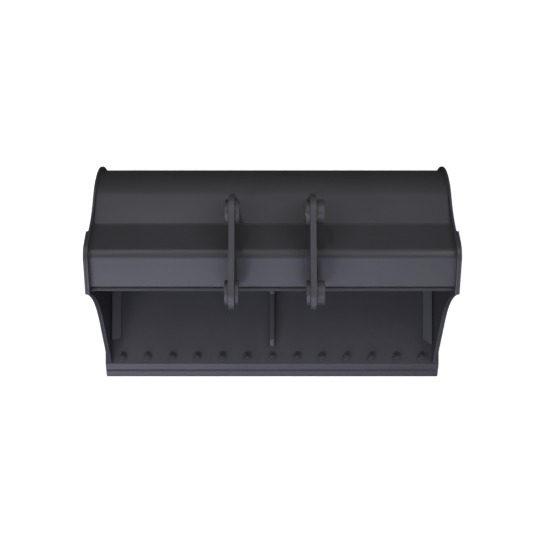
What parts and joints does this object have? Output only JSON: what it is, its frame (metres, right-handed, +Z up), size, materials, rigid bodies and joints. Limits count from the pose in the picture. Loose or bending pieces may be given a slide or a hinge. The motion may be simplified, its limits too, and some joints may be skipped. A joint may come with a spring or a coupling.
{
  "type": "excavator ditch cleaning bucket",
  "caption": "Wide toothless ditch cleaning bucket: rolled shell under a boxed hood, side plates with doublers, bushed pin ears and a bolt-on cutting edge.",
  "frame": {"origin": "on the ground, below the middle of the overall box", "axes": "+X along the cutting edge, -Y forward to the cutting edge, +Z up"},
  "size_m": [2, 1.236, 0.9371],
  "materials": {
    "body_paint": "satin",
    "fastener_steel": "satin",
    "bush_steel": "satin"
  },
  "bodies": {
    "root": {"shell": "body_paint", "hood": "body_paint", "left_side_plate": "body_paint", "right_side_plate": "body_paint", "left_side_doubler": "body_paint", "right_side_doubler": "body_paint", "base_edge": "body_paint", "bolt_on_edge": "body_paint", "left_ear": "body_paint", "right_ear": "body_paint", "left_front_boss": "body_paint", "left_rear_boss": "body_paint", "right_front_boss": "body_paint", "right_rear_boss": "body_paint", "left_front_bush": "bush_steel", "left_rear_bush": "bush_steel", "right_front_bush": "bush_steel", "right_rear_bush": "bush_steel", "centre_rib": "body_paint", "left_corner_bar": "body_paint", "right_corner_bar": "body_paint", "left_box_gusset": "body_paint", "right_box_gusset": "body_paint", "edge_bolt_01": "fastener_steel", "edge_bolt_02": "fastener_steel", "edge_bolt_03": "fastener_steel", "edge_bolt_04": "fastener_steel", "edge_bolt_05": "fastener_steel", "edge_bolt_06": "fastener_steel", "edge_bolt_07": "fastener_steel", "edge_bolt_08": "fastener_steel", "edge_bolt_09": "fastener_steel", "edge_bolt_10": "fastener_steel", "edge_bolt_11": "fastener_steel", "edge_bolt_12": "fastener_steel", "edge_bolt_13": "fastener_steel", "edge_nut_01": "fastener_steel", "edge_nut_02": "fastener_steel", "edge_nut_03": "fastener_steel", "edge_nut_04": "fastener_steel", "edge_nut_05": "fastener_steel", "edge_nut_06": "fastener_steel", "edge_nut_07": "fastener_steel", "edge_nut_08": "fastener_steel", "edge_nut_09": "fastener_steel", "edge_nut_10": "fastener_steel", "edge_nut_11": "fastener_steel", "edge_nut_12": "fastener_steel", "edge_nut_13": "fastener_steel"}
  },
  "joints": []
}
